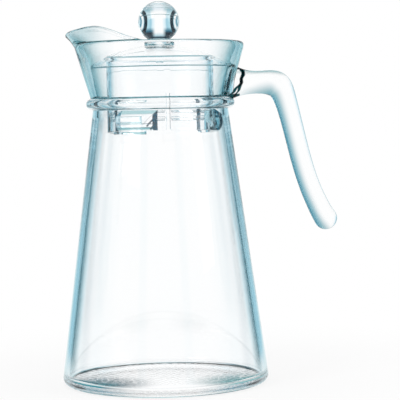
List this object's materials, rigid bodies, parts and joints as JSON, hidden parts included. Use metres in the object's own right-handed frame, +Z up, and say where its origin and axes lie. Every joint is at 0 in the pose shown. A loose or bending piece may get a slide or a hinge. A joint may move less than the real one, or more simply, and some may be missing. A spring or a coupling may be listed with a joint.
{
  "type": "glass jug",
  "caption": "Clear glass table jug: a cone that narrows to a beaded neck, a flared collar with a raised pouring lip, an open glass handle and a domed clear lid with a ball knob.",
  "frame": {"origin": "middle of the standing ring, on the plane that the jug stands on", "axes": "+Z up along the jug's axis, +X from the axis towards the handle, -X towards the pouring lip, +Y across"},
  "size_m": [0.1723, 0.1278, 0.236],
  "materials": {
    "glass": "clear soda-lime glass with a faint blue-green cast at its edges, fire polished",
    "clear_plastic": "clear moulded plastic, polished"
  },
  "bodies": {
    "jug": {"jug_body": "glass", "handle": "glass"},
    "lid": {"lid_cap": "clear_plastic", "lid_knob": "clear_plastic"}
  },
  "joints": [
    {"name": "lid_lift", "type": "slide", "parent": "jug", "child": "lid", "axis": [0, 0, 1], "range_m": [0, 0.067]}
  ]
}
